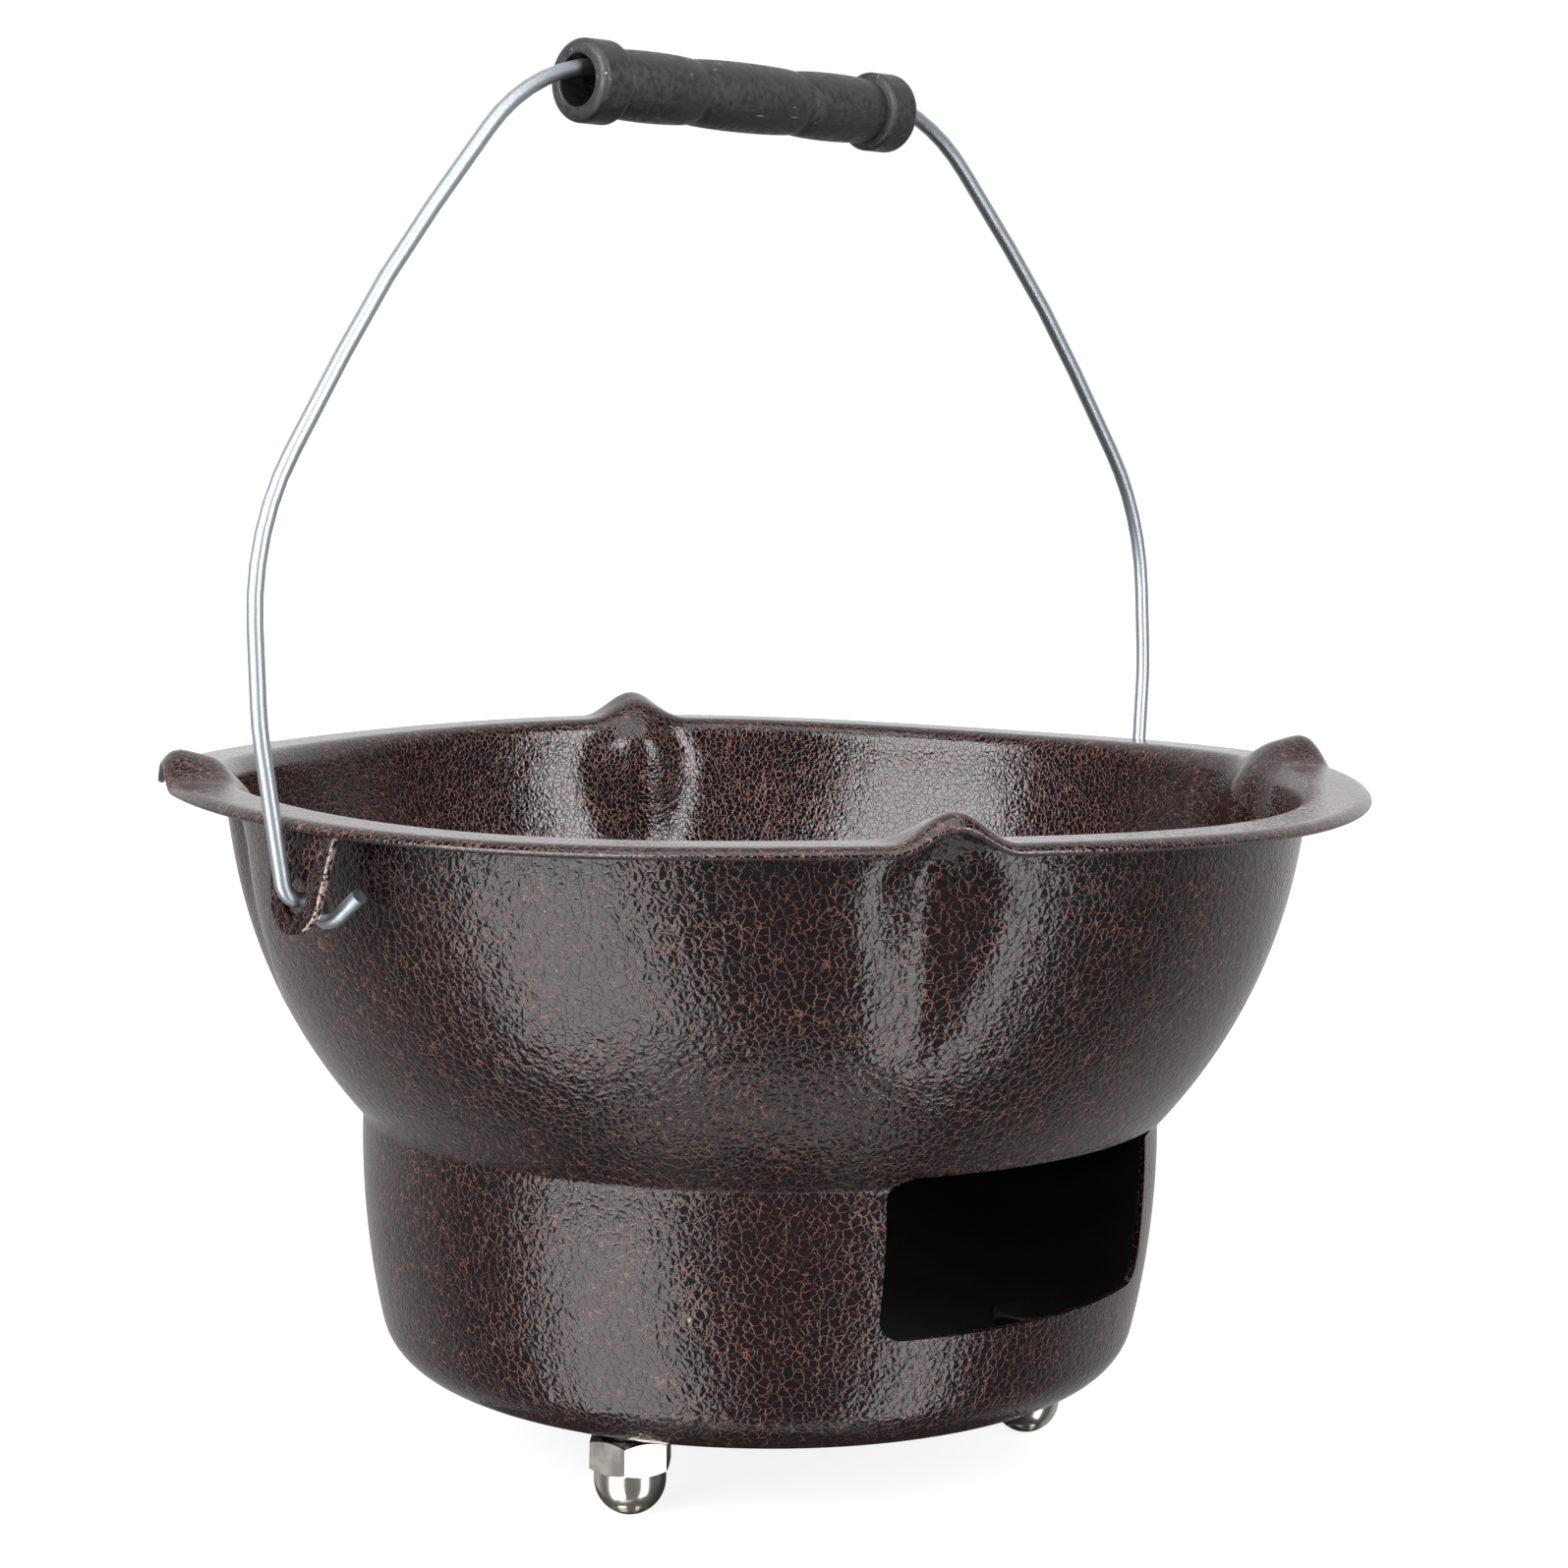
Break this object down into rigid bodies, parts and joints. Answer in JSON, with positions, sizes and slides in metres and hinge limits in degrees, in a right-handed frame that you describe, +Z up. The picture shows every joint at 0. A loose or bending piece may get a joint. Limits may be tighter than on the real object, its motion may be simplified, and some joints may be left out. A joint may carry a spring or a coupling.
{
  "type": "charcoal camp stove",
  "caption": "Portable charcoal camp stove: flanged steel bowl on a drum base with an air inlet, pot ribs, cap-nut feet and a swinging wire bail with a plastic grip.",
  "frame": {"origin": "on the ground, under the middle of the bowl", "axes": "+Z up through the bowl's axis, the air inlet faces -Y, the bail's pivot line runs along X"},
  "size_m": [0.2938, 0.28, 0.3237],
  "materials": {
    "hammertone": "gloss",
    "galvanised_wire": "satin",
    "black_plastic": "matte",
    "nickel_plate": "bright",
    "bare_casting": "rough",
    "blackened_steel": "satin"
  },
  "bodies": {
    "stove": {"stove_body": "hammertone", "ear_left": "hammertone", "ear_right": "hammertone", "foot_bolt_1": "blackened_steel", "foot_bolt_2": "blackened_steel", "foot_bolt_3": "blackened_steel", "foot_washer_1": "blackened_steel", "foot_washer_2": "blackened_steel", "foot_washer_3": "blackened_steel", "foot_cap_nut_1": "nickel_plate", "foot_cap_nut_2": "nickel_plate", "foot_cap_nut_3": "nickel_plate"},
    "bail": {"bail_wire": "galvanised_wire"},
    "grip": {"hand_grip": "black_plastic"},
    "grate": {"charcoal_grate": "bare_casting"}
  },
  "joints": [
    {"name": "bail_swing", "type": "hinge", "parent": "stove", "child": "bail", "pos_m": [0, 0, 0.1415], "axis": [1, 0, 0], "range_deg": [-131.3, 138.7]},
    {"name": "grip_spin", "type": "hinge", "parent": "bail", "child": "grip", "pos_m": [0, 0.01118, 0.31444], "axis": [1, 0, 0], "continuous": true},
    {"name": "grate_lift", "type": "slide", "parent": "stove", "child": "grate", "axis": [0, 0, 1], "range_m": [0, 0.12]}
  ]
}
